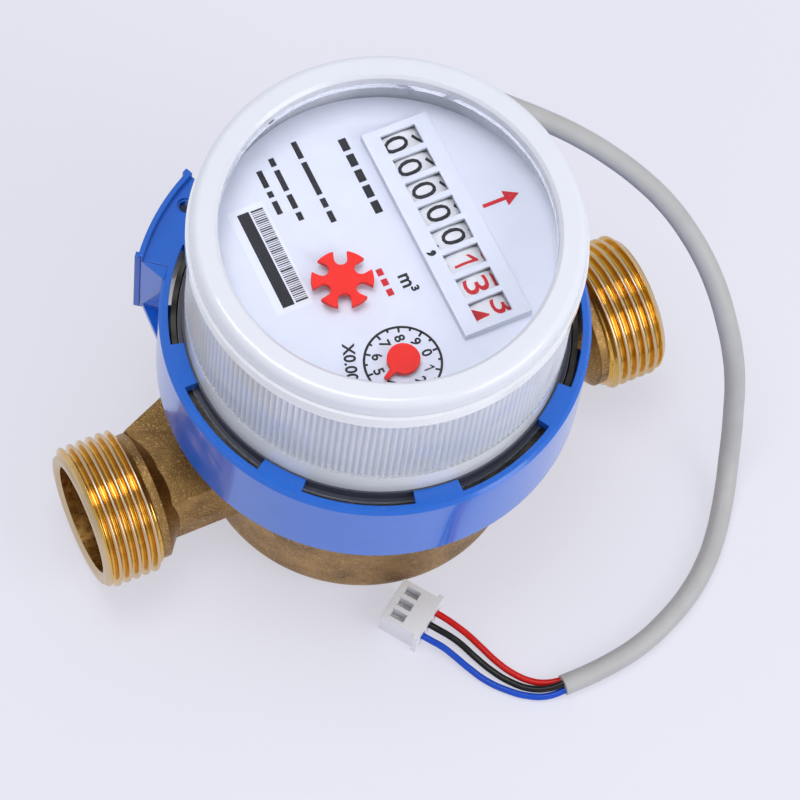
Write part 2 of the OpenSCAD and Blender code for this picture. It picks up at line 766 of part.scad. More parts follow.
module star_arbor() {
    m_in = mesh_m([0, 0], star_pos, drive_n, star_gear_n);
    m_out = mesh_m(star_pos, transfer_pos, star_pinion_n, transfer_gear_n);
    color("ivory") at(star_pos) {
        arbor(floor_z + 0.2, star_z + star_t - hub_skin, 0.8, 0);
        gear(star_gear_n, m_in, level_star, gear_t, bearing(star_pos, [0, 0]) + 180 / star_gear_n);
        gear(star_pinion_n, m_out, level_transfer - 0.3, gear_t + 0.6, bearing(star_pos, transfer_pos));
    }
}

// Flow star: a disc with round-bottomed slots between broad teeth, on a closed hub of its own
module star_wheel() {
    r = star_d / 2;
    slot_r = r * 0.22;
    slot_at = r * 0.72;
    color("red") at(star_pos) difference() {
        union() {
            disc(r, star_z, star_t);
            disc(arbor_r + 1, dial_z + free_gap, star_z - dial_z);
        }
        disc(arbor_r, dial_z, star_z + star_t - hub_skin - dial_z);
        for (k = [0 : star_teeth - 1]) rotate(star_turn + 360 * k / star_teeth) {
            translate([slot_at, 0, star_z - eps]) cylinder(r = slot_r, h = star_t + 1, $fn = 24);
            translate([slot_at, -slot_r, star_z - eps]) cube([r, 2 * slot_r, star_t + 1]);
        }
    }
}

module transfer_arbor() {
    m_in = mesh_m(star_pos, transfer_pos, star_pinion_n, transfer_gear_n);
    m_out = mesh_m(transfer_pos, pointer_pos, transfer_pinion_n, pointer_gear_n);
    color("ivory") at(transfer_pos) {
        arbor(floor_z + 0.2, bridge_z - 0.2, 0.8, 1);
        gear(transfer_gear_n, m_in, level_transfer, gear_t,
             bearing(transfer_pos, star_pos) + 180 / transfer_gear_n);
        gear(transfer_pinion_n, m_out, level_pointer - 0.3, gear_t + 0.6, bearing(transfer_pos, pointer_pos));
    }
}

module pointer_arbor() {
    m_in = mesh_m(transfer_pos, pointer_pos, transfer_pinion_n, pointer_gear_n);
    m_out = mesh_m(pointer_pos, worm_pos, counter_gear_n, counter_gear_n);
    color("ivory") at(pointer_pos) {
        arbor(floor_z + 0.2, needle_z + needle_t - hub_skin, 0.8, 0);
        gear(pointer_gear_n, m_in, level_pointer, gear_t,
             bearing(pointer_pos, transfer_pos) + 180 / pointer_gear_n);
        gear(counter_gear_n, m_out, level_count, gear_t, bearing(pointer_pos, worm_pos));
    }
}

module pointer_needle() {
    color("red") at(pointer_pos) difference() {
        union() {
            disc(needle_r, needle_z, needle_t);
            translate([0, 0, needle_z]) rotate(needle_turn) linear_extrude(needle_t) polygon([
                [0, -needle_root], [pointer_l, -needle_tip], [pointer_l, needle_tip], [0, needle_root]]);
        }
        disc(arbor_r, needle_z - 1, needle_t + 1 - hub_skin);
    }
}

module sensor_magnet() {
    color("silver") translate([pointer_pos[0] - sensor_r, pointer_pos[1], level_pointer + gear_t])
        cylinder(r = 1.2, h = 1);
}

module sensor_board() {
    color("darkgreen") translate([board_at[0], board_at[1], bridge_z + bridge_t]) {
        cube(board);
        translate([reed_at[0], reed_at[1], board[2] - eps]) cube(reed);
        for (k = [0 : 2]) translate([2 * pad_r, pad_pitch * (k + pad_r), board[2] - eps])
            cylinder(r = pad_r, h = 0.8, $fn = 24);
    }
}

module worm_arbor() {
    m_in = mesh_m(pointer_pos, worm_pos, counter_gear_n, counter_gear_n);
    top = dial_z - dial_t - 1.6;
    color("ivory") at(worm_pos) {
        disc(0.6, floor_z + 0.2, top - floor_z - 0.2);
        disc(tip_r, floor_z - 0.6, 0.9);
        disc(tip_r, top - eps, 1.4);
        gear(counter_gear_n, m_in, level_count, gear_t, bearing(worm_pos, pointer_pos) + 180 / counter_gear_n);
        translate([0, 0, roller_z - worm_h / 2]) rotate(180 * worm_h / worm_lead + 180)
            linear_extrude(worm_h, twist = 360 * worm_h / worm_lead, slices = 24)
                translate([worm_throw, 0]) circle(worm_r, $fn = 12);
    }
}

// Counter

function roller_y(i) = counter_y + counter_half - (i - 0.5) * roller_pitch;

module along_counter(y, z) { translate([counter_x, y, z]) rotate([90, 0, 0]) children(); }

module roller_shaft() {
    color("silver") along_counter(cheek_high + cheek_t, roller_z)
        cylinder(r = shaft_r, h = cheek_high + cheek_t - cheek_low);
}

module pinion_shaft() {
    color("silver") along_counter(cheek_high + cheek_t, pinion_z)
        cylinder(r = pinion_shaft_r, h = cheek_high + cheek_t - cheek_low);
}

// Roller: a rim on a web, a full gear on its lower-order side and a two-tooth disc on the other
module roller(i) {
    half = roller_w / 2;
    first = i == 1;
    last = i == roller_count;
    disc_r = carry_m * (carry_n / 2 - 1.3);
    wheel_at = roller_y(i) - wheel_y;
    color("white") along_counter(roller_y(i), roller_z) difference() {
        union() {
            difference() {
                disc(roller_r, -half, roller_w);
                for (z = [-half - eps, half - 1]) difference() {
                    disc(roller_r - 0.9, z, 1 + eps);
                    disc(disc_r, z - 1, 3);
                }
            }
            if (!last) gear(carry_n, carry_m, half - 1, 1 + carry_t, -90);
            if (!first) {
                disc(disc_r, -half - carry_t, carry_t + eps);
                for (a = [-9, 9]) rotate(90 + a) translate([disc_r - 0.5, -0.35, -half - carry_t])
                    cube([1.6, 0.7, carry_t + eps]);
            }
            if (last) {
                disc(wheel_hub_r, half - 0.5, wheel_at - half + 0.5 + wheel_t / 2);
                worm_wheel(wheel_at);
            }
        }
        disc(shaft_r + run_gap, -10, 20);
    }
}

module worm_wheel(z) {
    root = wheel_root;
    translate([0, 0, z]) linear_extrude(wheel_t) union() {
        circle(root);
        for (k = [0 : worm_n - 1]) rotate(180 + k * 360 / worm_n)
            polygon([[root - 0.5, -0.6], [wheel_tip, -0.3], [wheel_tip, 0.3], [root - 0.5, 0.6]]);
    }
}

module carry_pinion(i) {
    color("orange") along_counter((roller_y(i) + roller_y(i + 1)) / 2, pinion_z) difference() {
        gear(pinion_n, carry_m, -pinion_l / 2, pinion_l, 90 + 180 / pinion_n);
        disc(pinion_shaft_r + run_gap, -5, 10);
    }
}

// Sensor lead

module cable_gland() {
    color("dimgray") difference() {
        translate(outlet_from) rotate(outlet_turn) rotate([0, 90, 0]) translate([0, 0, boss_l])
            rotate_extrude() polygon([
                [0, 0], [gland_r, 0], [gland_r, 1], [lead_r + 0.6, gland_l], [0, gland_l]]);
        outlet(lead_r, 0, outlet_reach);
    }
}

module cable() { color("darkgray") tube(lead_route, lead_r); }
module wire_red() { color("red") tube(red_route, core_r); }
module wire_black() { color("black") tube(black_route, core_r); }
module wire_blue() { color("blue") tube(blue_route, core_r); }

// Places a shape in the plug's own frame: +X towards the cores, origin at the middle of the front
module in_plug() { translate([plug_front[0], plug_front[1], 0]) rotate(plug_turn) children(); }

module plug_housing() {
    color("ivory") in_plug() difference() {
        union() {
            translate([0, -plug_w / 2, 0]) cube([plug_l, plug_w, plug_h]);
            translate([plug_l - plug_flange_t, -plug_flange_w / 2, 0])
                cube([plug_flange_t, plug_flange_w, plug_h]);
        }
        for (k = [-1 : 1]) translate([0, k * plug_pitch, 0]) {
            translate([-1, -0.8, core_z - 0.8]) cube([plug_l + 2, 1.6, 1.6]);
            translate([1.2, -0.8, core_z]) cube([2.8, 1.6, plug_h]);
        }
    }
}

module plug_terminals() {
    color("silver") in_plug() for (k = [-1 : 1]) translate([0.6, k * plug_pitch, 0]) difference() {
        translate([0, -0.75, core_z - 0.75]) cube([plug_l - core_hole_depth - 1, 1.5, 1.5]);
        translate([-1, -0.45, core_z - 0.45]) cube([3.6, 0.9, 0.9]);
    }
}

brass_body();
inlet_strainer();
impeller_pivot();
impeller();
impeller_magnet();
chamber_cover();
cover_o_ring();
register_gasket();
snap_ring();
register_base();
movement_can();
gear_frame();
train_bridge();
drive_arbor();
drive_magnet();
star_arbor();
star_wheel();
transfer_arbor();
pointer_arbor();
pointer_needle();
sensor_magnet();
sensor_board();
worm_arbor();
roller_shaft();
pinion_shaft();
dial_plate();
clear_cover();
bezel_ring();
cable_gland();
cable();
wire_red();
wire_black();
wire_blue();
plug_housing();
plug_terminals();
for (i = [1 : roller_count]) roller(i);
for (i = [1 : roller_count - 1]) carry_pinion(i);
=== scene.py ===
import json
import math

import bmesh
import bpy
from mathutils import Matrix, Vector


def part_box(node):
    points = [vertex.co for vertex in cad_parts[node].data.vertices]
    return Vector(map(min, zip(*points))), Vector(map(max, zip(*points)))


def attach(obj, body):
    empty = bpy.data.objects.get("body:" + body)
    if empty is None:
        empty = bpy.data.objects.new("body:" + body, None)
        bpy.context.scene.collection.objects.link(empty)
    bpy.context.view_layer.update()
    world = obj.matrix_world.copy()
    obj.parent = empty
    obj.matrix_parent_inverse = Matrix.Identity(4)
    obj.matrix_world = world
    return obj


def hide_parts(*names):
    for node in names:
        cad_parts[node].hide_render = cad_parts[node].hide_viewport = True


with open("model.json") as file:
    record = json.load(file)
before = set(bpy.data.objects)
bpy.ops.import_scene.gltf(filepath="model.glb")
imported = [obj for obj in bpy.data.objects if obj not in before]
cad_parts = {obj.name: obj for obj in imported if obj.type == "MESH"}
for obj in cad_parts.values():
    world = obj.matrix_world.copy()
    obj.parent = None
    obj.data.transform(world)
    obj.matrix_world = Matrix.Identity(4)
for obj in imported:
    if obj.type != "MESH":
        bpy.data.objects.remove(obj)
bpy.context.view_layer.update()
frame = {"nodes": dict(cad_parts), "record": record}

MM = 0.001
nodes = frame["nodes"]

# Camera, as the photograph was taken
CAMERA_AZIMUTH = math.radians(-33.939)
CAMERA_ELEVATION = math.radians(64.277)
CAMERA_ROLL = math.radians(9.631)
CAMERA_DISTANCE = 692.4 * MM
CAMERA_TARGET = Vector((0.807, -10.323, 39.1)) * MM
CAMERA_LENS = 180.04
CAMERA_SENSOR = 36
CAMERA_CLIP = (0.01, 20)

# Routes of the lead and its cores in millimetres, as in the part's source
LEAD_ROUTE = [
    (10.1, 31.6, 62), (13.6, 33.6, 62), (17.2, 35.2, 62), (21.1, 35.6, 61.9), (24.9, 34.7, 61.6),
    (28.3, 32.8, 61), (32.5, 29.2, 60.4), (37, 25, 59.6), (42, 20.8, 58), (46.7, 16.6, 56),
    (51.2, 11.8, 53.5), (54.9, 6.6, 51.2), (57.6, 1.4, 49), (59.4, -3.8, 46.5), (60.6, -8.8, 43.5),
    (61.2, -13.6, 40.1), (61.4, -18, 35.9), (61.7, -21.6, 30.3), (61.9, -24.4, 23.3), (61.6, -26.8, 16.1),
    (60.9, -29.2, 10.2), (59.6, -31.9, 6), (57.7, -35.2, 3.5), (55.2, -38.8, 2.2), (52.5, -42.2, 1.9),
    (48, -46.8, 1.9), (42, -51.2, 1.9), (36, -54.2, 1.9), (30, -56.3, 1.9), (24, -57.4, 1.9),
    (18, -57.8, 1.9), (13.6, -57.8, 1.9)]
RED_ROUTE = [
    (14.6, -56.9, 1.7), (11, -55.9, 1.3), (8.8, -54.4, 1), (6.6, -51.8, 0.9), (4.9, -48.6, 0.9),
    (3.6, -45.2, 1), (2.3, -42.2, 1.5), (1, -40.2, 2.3), (-0.5, -38, 2.9), (-3.3, -34, 2.9)]
BLACK_ROUTE = [
    (14.6, -57.8, 2.7), (10.8, -57.2, 1.8), (8, -55.7, 1.2), (5.4, -53, 0.9), (3.3, -49.7, 0.9),
    (1.7, -46.2, 1), (0.3, -43.2, 1.6), (-1, -41.4, 2.4), (-2.6, -39.4, 2.9), (-5.35, -35.45, 2.9)]
BLUE_ROUTE = [
    (14.6, -58.7, 1.7), (10.3, -58.2, 0.9), (7, -56.6, 0.8), (4.2, -54.2, 0.8), (1.7, -51.2, 0.8),
    (-0.2, -47.8, 1), (-1.8, -44.8, 1.7), (-3.1, -42.8, 2.5), (-4.65, -40.85, 2.9), (-7.4, -36.9, 2.9)]
LEAD_D = 3.8 * MM
CORE_D = 1.24 * MM
CORD_ROUNDNESS = 6
CORD_STEPS = 8

# Pipe threads
THREAD_PITCH = 1.814 * MM
THREAD_DEPTH = 1.16 * MM
THREAD_R = 13.22 * MM
THREAD_END = 55 * MM
THREAD_START = 43.8 * MM
RELIEF_R = 11.62 * MM
PIPE_Z = 16 * MM
BORE_R = 10 * MM
BORE_EDGE = 0.6 * MM
FLANK_STEEPNESS = 1.55
ROOT_FLAT = 0.28
LEAD_IN_DROP = 1.3 * MM
RUN_OUT_SLOPE = 1.6
THREAD_ROWS = 96
ROUND_STEPS = 180

# Casting: where the machined surfaces begin, and the order of the body's materials
NECK_START = 30 * MM
RIM_FLOOR = 39.4 * MM
CUP_FLOOR = 4 * MM
CUP_R = 28.5 * MM
FACE_SLACK = 0.05 * MM
CAST_SLOT, THREAD_SLOT, RIM_SLOT, BORE_SLOT = range(4)

# Register case
FLANGE_T = 2.9 * MM
CLAMP_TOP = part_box("clear_cover")[0].z + FLANGE_T
CLAMP_R = 33.8 * MM
BARREL_R = 32.8 * MM
# A thin dark ring round the barrel's foot, which darkens the line there and the collar's slots
DARK_RING_T = 0.15 * MM
DARK_RING_UPSTAND = 0.33 * MM
DARK_RING_SINK = 1.5 * MM
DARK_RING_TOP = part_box("snap_ring")[1].z - DARK_RING_SINK
DARK_RING_GAP = 0.03 * MM
RIB_LOW = 58.55 * MM
RIB_HIGH = 78.35 * MM
RIB_COUNT = 180
RIB_INNER = 31.5 * MM
WINDOW_LOW = 80.7 * MM
WINDOW_R = 29 * MM
# Share of the clear wall's light that is scattered, and what the ribs and the foot add to it
WALL_HAZE = 0.38
BRIM_HAZE = 0.92
RIB_HAZE = 0.12
FOOT_HAZE = 0.34

# Counter and dial
COUNTER_X = 11.2 * MM
COUNTER_Y = 0.6 * MM
ROLLER_COUNT = 8
ROLLER_PITCH = 4.86 * MM
ROLLER_R = 8.2 * MM
DIGIT_H = 4.3 * MM
DIGIT_W = 3.0 * MM
DIGIT_BOLD = 0.004
DIGIT_CUTS = 12
DIGIT_STEP = math.radians(36)
# Digit at the window on each roller, with its share of the way to the next, and the first red roller
READING = [9.8, 9.86, 9.92, 0.0, 0.08, 1.05, 3.0, 3.5]
RED_FROM = 5
PRINT_LIFT = 0.03 * MM
NEEDLE_OVER_DIAL = 0.7 * MM
FRAME_OVER_DIAL = 1.6 * MM
DIAL_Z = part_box("pointer_needle")[0].z - NEEDLE_OVER_DIAL
FRAME_Z = DIAL_Z + FRAME_OVER_DIAL
SMALL_DIAL = Vector((-5.9, -19.3)) * MM
SMALL_DIAL_R = 6.6 * MM
SMALL_DIAL_LINE = 0.42 * MM
RING_STEPS = 72
TICK_COUNT = 20
TICK_W = 0.38 * MM
TICK_LONG, TICK_SHORT = 1.0 * MM, 0.6 * MM
TICK_INSET = 0.2 * MM
NUMERAL_H = 1.85 * MM
NUMERAL_R = 4.35 * MM
FACTOR_H = 2.1 * MM
FACTOR_AT = Vector((-14.2, -17.0)) * MM
FACTOR_TURN = math.radians(18)
UNIT_H = 2.6 * MM
UNIT_AT = Vector((1.2, -6.5)) * MM
COMMA_H = 1.7 * MM
COMMA_AT = Vector((6.5, -3.8)) * MM
BOLD = 0.026
GLYPH_STEPS = 3
ONE_STROKE = 0.11
# Rows of print in millimetres: place along the pipe, start across it, height and lengths of the blocks
DIAL_ROWS = [
    (2.3, 22.4, 1.4, (2.4, 2.4, 2.4, 2.4, 2.4)), (-5.4, 25.0, 1.0, (3.4, 6.6, 1.8, 2.2)),
    (-10.2, 23.6, 1.0, (1.6, 4.2, 2.8, 1.6)), (-13.0, 22.2, 1.0, (3.4, 1.2, 2.6))]
ROW_GAP = 0.8 * MM
RED_BLOCK = (1.3 * MM, 1.1 * MM)
RED_BLOCKS_AT = [Vector((-2.4, y)) * MM for y in (-2.9, -4.9, -6.9)]
LABEL_AT = Vector((-18.0, 6.6)) * MM
LABEL_LONG, LABEL_WIDE = 20.6 * MM, 6.6 * MM
LABEL_BAR = (18.6 * MM, 2.1 * MM)
LABEL_BAR_DROP = 0.8 * MM
LABEL_LINES = 46
LABEL_LINES_LONG, LABEL_LINES_WIDE = 18.4 * MM, 2.2 * MM
LABEL_LINES_RISE = 1.65 * MM
LINE_W = 0.14 * MM
FIFTH_LINE_MORE, THIRD_LINE_MORE = 0.12 * MM, 0.08 * MM
ARROW_AT = Vector((22.0, 1.5)) * MM
ARROW_SHAFT = (0.7 * MM, 4.2 * MM)
ARROW_SHAFT_DROP = 1.2 * MM
ARROW_HEAD = [(-1.5 * MM, 0.8 * MM), (1.5 * MM, 0.8 * MM), (0, 3.4 * MM)]

# Materials
NOISE_ROUGHNESS = 0.55
EDGE_SAMPLES = 4
SOFT_STEP = 0.1 * MM

# Stage and light
FLOOR_HALF = 1.6
FLOOR_DROP = 0.05 * MM
FLOOR_GLOW = 0.6
LAMP_AIM = (0, 0, 0.04)
WORLD_COLOUR = (0.94, 0.96, 1.0, 1)
WORLD_STRENGTH = 0.61


# Camera and cords

def make_camera():
    """The camera on its sphere round the target, turned by its roll."""
    a, e, r = CAMERA_AZIMUTH, CAMERA_ELEVATION, CAMERA_ROLL
    back = Vector((math.sin(a) * math.cos(e), -math.cos(a) * math.cos(e), math.sin(e)))
    level = (-back).cross(Vector((0, 0, 1))).normalized()
    upright = back.cross(level)
    right = level * math.cos(r) + upright * math.sin(r)
    up = upright * math.cos(r) - level * math.sin(r)
    turn = Matrix((right, up, back)).transposed().to_4x4()
    data = bpy.data.cameras.new("camera")
    data.lens, data.sensor_width = CAMERA_LENS, CAMERA_SENSOR
    data.clip_start, data.clip_end = CAMERA_CLIP
    camera = bpy.data.objects.new("camera", data)
    camera.matrix_world = Matrix.Translation(CAMERA_TARGET + back * CAMERA_DISTANCE) @ turn
    bpy.context.scene.collection.objects.link(camera)
    bpy.context.scene.camera = camera


def make_cord(name, route, diameter, node):
    """A round cord along its route, and its length."""
    data = bpy.data.curves.new(name, "CURVE")
    data.dimensions = "3D"
    # The points carry the radius, because the curve's box is measured with it
    data.bevel_depth = 1.0
    data.bevel_resolution, data.resolution_u = CORD_ROUNDNESS, CORD_STEPS
    data.use_fill_caps = True
    spline = data.splines.new("BEZIER")
    spline.bezier_points.add(len(route) - 1)
    for point, place in zip(spline.bezier_points, route):
        point.co = Vector(place) * MM
        point.radius = diameter / 2
        point.handle_left_type = point.handle_right_type = "AUTO"
    piece = bpy.data.objects.new(name, data)
    bpy.context.scene.collection.objects.link(piece)
    bpy.context.view_layer.update()
    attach(piece, "register")
    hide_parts(node)
    return piece, spline.calc_length()


make_camera()
lead, lead_length = make_cord("sensor_lead", LEAD_ROUTE, LEAD_D, "cable")
cores = {}
for colour, route in (("red", RED_ROUTE), ("black", BLACK_ROUTE), ("blue", BLUE_ROUTE)):
    core, core_length = make_cord(f"core_{colour}", route, CORE_D, f"wire_{colour}")
    cores[colour] = core


# Material helpers: object coordinates are the shared frame, scaled to millimetres

class Graph:
    """A material's nodes, with short calls for the ones that are used here."""

    def __init__(self, name):
        self.material = bpy.data.materials.new(name)
        self.material.use_nodes = True
        self.tree = self.material.node_tree
        self.shader = self.tree.nodes["Principled BSDF"]
        self.output = self.tree.nodes["Material Output"]
        coordinates = self.add("ShaderNodeTexCoord")
        scale = self.add("ShaderNodeMapping")
        scale.inputs["Scale"].default_value = (1 / MM, 1 / MM, 1 / MM)
        self.link(coordinates.outputs["Object"], scale.inputs["Vector"])
        self.place = scale.outputs["Vector"]
        self.normal = None

    def add(self, kind):
        return self.tree.nodes.new(kind)

    def link(self, a, b):
        self.tree.links.new(a, b)

    def set(self, **values):
        for key, value in values.items():
            self.shader.inputs[key.replace("_", " ")].default_value = value
        return self

    def axes(self):
        split = self.add("ShaderNodeSeparateXYZ")
        self.link(self.place, split.inputs[0])
        return split.outputs

    def stretched(self, x, y, z):
        stretch = self.add("ShaderNodeMapping")
        stretch.inputs["Scale"].default_value = (x, y, z)
        self.link(self.place, stretch.inputs["Vector"])
        return stretch.outputs["Vector"]

    def noise(self, scale, detail=3.0, place=None):
        noise = self.add("ShaderNodeTexNoise")
        noise.inputs["Scale"].default_value = scale
        noise.inputs["Detail"].default_value = detail
        noise.inputs["Roughness"].default_value = NOISE_ROUGHNESS
        self.link(place or self.place, noise.inputs["Vector"])
        return noise.outputs["Fac"]

    def math(self, kind, a, b=None):
        node = self.add("ShaderNodeMath")
        node.operation = kind
        for socket, value in zip(node.inputs, (a, b)):
            if isinstance(value, (int, float)):
                socket.default_value = value
            elif value is not None:
                self.link(value, socket)
        return node.outputs[0]

    def both(self, a, b):
        return self.math("MULTIPLY", a, b)

    def without(self, a):
        return self.math("SUBTRACT", 1.0, a)

    def reach(self, a, b):
        """Distance from an axis, out of the two distances across it."""
        return self.math("SQRT", self.math("ADD", self.both(a, a), self.both(b, b)))

    def past(self, value, place, soft=SOFT_STEP):
        """0 below a place and 1 above it, with a soft step between them."""
        return self.span(value, (place - soft) / MM, (place + soft) / MM)

    def span(self, value, low, high, to_low=0.0, to_high=1.0):
        """One range of a value turned into another, and held at its ends."""
        node = self.add("ShaderNodeMapRange")
        self.link(value, node.inputs["Value"])
        for key, number in (("From Min", low), ("From Max", high), ("To Min", to_low), ("To Max", to_high)):
            node.inputs[key].default_value = number
        return node.outputs["Result"]

    def blend(self, factor, a, b):
        node = self.add("ShaderNodeMix")
        node.data_type = "RGBA"
        self.link(factor, node.inputs["Factor"])
        for key, value in (("A", a), ("B", b)):
            socket = next(s for s in node.inputs if s.name == key and s.type == "RGBA")
            if isinstance(value, tuple):
                socket.default_value = (*value, 1)
            else:
                self.link(value, socket)
        return next(s for s in node.outputs if s.type == "RGBA")

    def colour(self, socket):
        self.link(socket, self.shader.inputs["Base Color"])
        return self

    def roughness(self, socket):
        self.link(socket, self.shader.inputs["Roughness"])
        return self

    def round_edges(self, radius):
        bevel = self.add("ShaderNodeBevel")
        bevel.samples = EDGE_SAMPLES
        bevel.inputs["Radius"].default_value = radius
        self.normal = bevel.outputs["Normal"]
        return self

    def bump(self, height, distance):
        bump = self.add("ShaderNodeBump")
        bump.inputs["Distance"].default_value = distance
        bump.inputs["Strength"].default_value = 1.0
        self.link(height, bump.inputs["Height"])
        if self.normal:
            self.link(self.normal, bump.inputs["Normal"])
        self.normal = bump.outputs["Normal"]
        return self

    def done(self):
        if self.normal:
            self.link(self.normal, self.shader.inputs["Normal"])
        return self.material


def moulded(name, base, rough, grain=0.02, mottle=0.06, edge=0.25, **values):
    """Moulded plastic or rubber: a slight mottle, and a fine grain and soft edges given in millimetres."""
    g = Graph(name).set(**values)
    dark = tuple(c * (1 - mottle) for c in base)
    g.colour(g.blend(g.span(g.noise(0.22), 0.3, 0.7), dark, base))
    g.roughness(g.span(g.noise(1.3), 0.3, 0.7, rough * 0.85, rough * 1.15))
    if edge:
        g.round_edges(edge * MM)
    return g.bump(g.noise(2.4, 4), grain * MM).done()


def cast_brass():
    """Sand-cast brass: brown and golden patches, bright grains and a rough skin."""
    g = Graph("cast_brass").set(Metallic=1.0)
    patches = g.blend(g.span(g.noise(0.16, 4), 0.32, 0.68), (0.225, 0.127, 0.043), (0.45, 0.266, 0.096))
    grains = g.span(g.noise(2.6, 2), 0.55, 0.75)
    g.colour(g.blend(grains, patches, (0.68, 0.46, 0.20)))
    g.roughness(g.span(g.noise(1.1), 0.3, 0.7, 0.34, 0.52))
    g.round_edges(0.5 * MM)
    g.bump(g.noise(0.9, 3), 0.13 * MM)
    return g.bump(g.noise(3.2, 3), 0.12 * MM).done()


def turned_brass(name, base, shade, rough):
    """Turned brass: fine rings about the pipe axis and a few dull spots."""
    g = Graph(name).set(Metallic=1.0)
    stains = g.span(g.noise(0.55, 4), 0.52, 0.72)
    g.colour(g.blend(stains, base, shade))
    g.roughness(g.span(g.noise(0.8, 3), 0.3, 0.7, rough * 0.7, rough * 1.35))
    rings = g.noise(1.0, 2, place=g.stretched(9.0, 0.12, 0.12))
    return g.bump(rings, 0.006 * MM).done()


def thread_brass():
    """Cut thread: bright flanks, a few stains, and crests and lead-in end painted paler and made rougher,
    partly wear and partly a painted reflection of the pale surroundings.
    """
    g = Graph("thread_brass").set(Metallic=1.0)
    x, y, z = g.axes()
    reach = g.reach(y, g.math("SUBTRACT", z, PIPE_Z / MM))
    # Crests and the lead-in end are painted paler: partly wear, partly a painted reflection of the pale
    # surroundings.
    end_wear_and_reflection = g.past(g.math("ABSOLUTE", x), THREAD_END - 0.75 * MM, 0.25 * MM)
    crest_wear_and_reflection = g.math("MAXIMUM", g.past(reach, THREAD_R - 0.11 * MM, 0.05 * MM), end_wear_and_reflection)
    stains = g.span(g.noise(0.5, 4), 0.54, 0.76)
    flank = g.blend(stains, (0.74, 0.45, 0.098), (0.48, 0.26, 0.05))
    g.colour(g.blend(crest_wear_and_reflection, flank, (0.68, 0.53, 0.34)))
    gloss = g.span(g.noise(0.8, 3), 0.3, 0.7, 0.10, 0.2)
    g.roughness(g.math("ADD", gloss, g.both(crest_wear_and_reflection, 0.18)))
    rings = g.noise(1.0, 2, place=g.stretched(9.0, 0.12, 0.12))
    return g.bump(rings, 0.002 * MM).done()


def turned_rim():
    """Turned rim and cup, coloured near black as painted shade, with rings about the upright axis."""
    g = Graph("turned_rim").set(Metallic=1.0)
    # Painted shade: the brass of the rim and cup is coloured near black.
    g.colour(g.blend(g.span(g.noise(0.3, 4), 0.35, 0.65), (0.03, 0.029, 0.028), (0.09, 0.082, 0.07)))
    g.roughness(g.span(g.noise(1.2), 0.3, 0.7, 0.28, 0.5))
    rings = g.noise(1.0, 2, place=g.stretched(0.1, 0.1, 8.0))
    return g.bump(rings, 0.03 * MM).done()


def clear_plastic():
    """Clear moulding: a bright window, a hazier ribbed band with painted shade lines at the roots of the
    ribs, and plain bands between them.
    """
    g = Graph("clear_plastic").set(IOR=1.22, Coat_Weight=0.25, Coat_IOR=1.5, Coat_Roughness=0.03)
    x, y, z = g.axes()
    reach = g.reach(x, y)
    above = g.past(z, RIB_HIGH)
    wall = g.both(g.past(reach, RIB_INNER, 2 * SOFT_STEP), g.without(g.past(reach, BARREL_R + 2 * SOFT_STEP)))
    ribs = g.both(g.both(g.past(z, RIB_LOW), g.without(above)), wall)
    # Painted shade: the roots of the ribs are coloured darker and bluer.
    wave = g.math("COSINE", g.both(g.math("ARCTAN2", y, x), RIB_COUNT))
    painted_rib_shade = g.both(ribs, g.span(wave, 0.6, -0.8))
    g.colour(g.blend(painted_rib_shade, (0.95, 0.965, 1.0), (0.72, 0.77, 0.90)))
    foot = g.both(g.without(g.past(z, RIB_LOW)), FOOT_HAZE)
    bands = g.math("ADD", g.span(above, 0, 1, WALL_HAZE, BRIM_HAZE), foot)
    window = g.both(g.past(z, WINDOW_LOW), g.without(g.past(reach, WINDOW_R, 2 * SOFT_STEP)))
    haze = g.math("ADD", g.both(ribs, RIB_HAZE), g.both(bands, g.without(window)))
    g.link(g.without(haze), g.shader.inputs["Transmission Weight"])
    g.roughness(g.span(g.noise(0.9), 0.3, 0.7, 0.01, 0.05))
    g.bump(g.noise(0.35, 2), 0.01 * MM)
    see_through = g.add("ShaderNodeBsdfTransparent")
    see_through.inputs["Color"].default_value = (0.98, 0.985, 0.99, 1)
    light = g.add("ShaderNodeLightPath")
    mix = g.add("ShaderNodeMixShader")
    g.link(light.outputs["Is Shadow Ray"], mix.inputs[0])
    g.link(g.shader.outputs[0], mix.inputs[1])
    g.link(see_through.outputs[0], mix.inputs[2])
    g.link(mix.outputs[0], g.output.inputs["Surface"])
    return g.done()


def ground_steel():
    """Ground steel of the shafts and the pivot, with fine lines along X."""
    g = Graph("ground_steel").set(Metallic=1.0)
    g.colour(g.blend(g.noise(0.8), (0.5, 0.5, 0.52), (0.68, 0.68, 0.7)))
    g.roughness(g.span(g.noise(2.0), 0.3, 0.7, 0.2, 0.36))
    return g.bump(g.noise(1.0, 2, place=g.stretched(0.3, 6, 6)), 0.01 * MM).done()


def board():
    """Circuit board: two greens where copper runs under the varnish."""
    g = Graph("board_green")
    g.colour(g.blend(g.span(g.noise(1.5, 2), 0.48, 0.52), (0.03, 0.16, 0.07), (0.05, 0.26, 0.11)))
    g.roughness(g.span(g.noise(3.0), 0.3, 0.7, 0.25, 0.45))
    return g.bump(g.noise(3.0), 0.02 * MM).done()


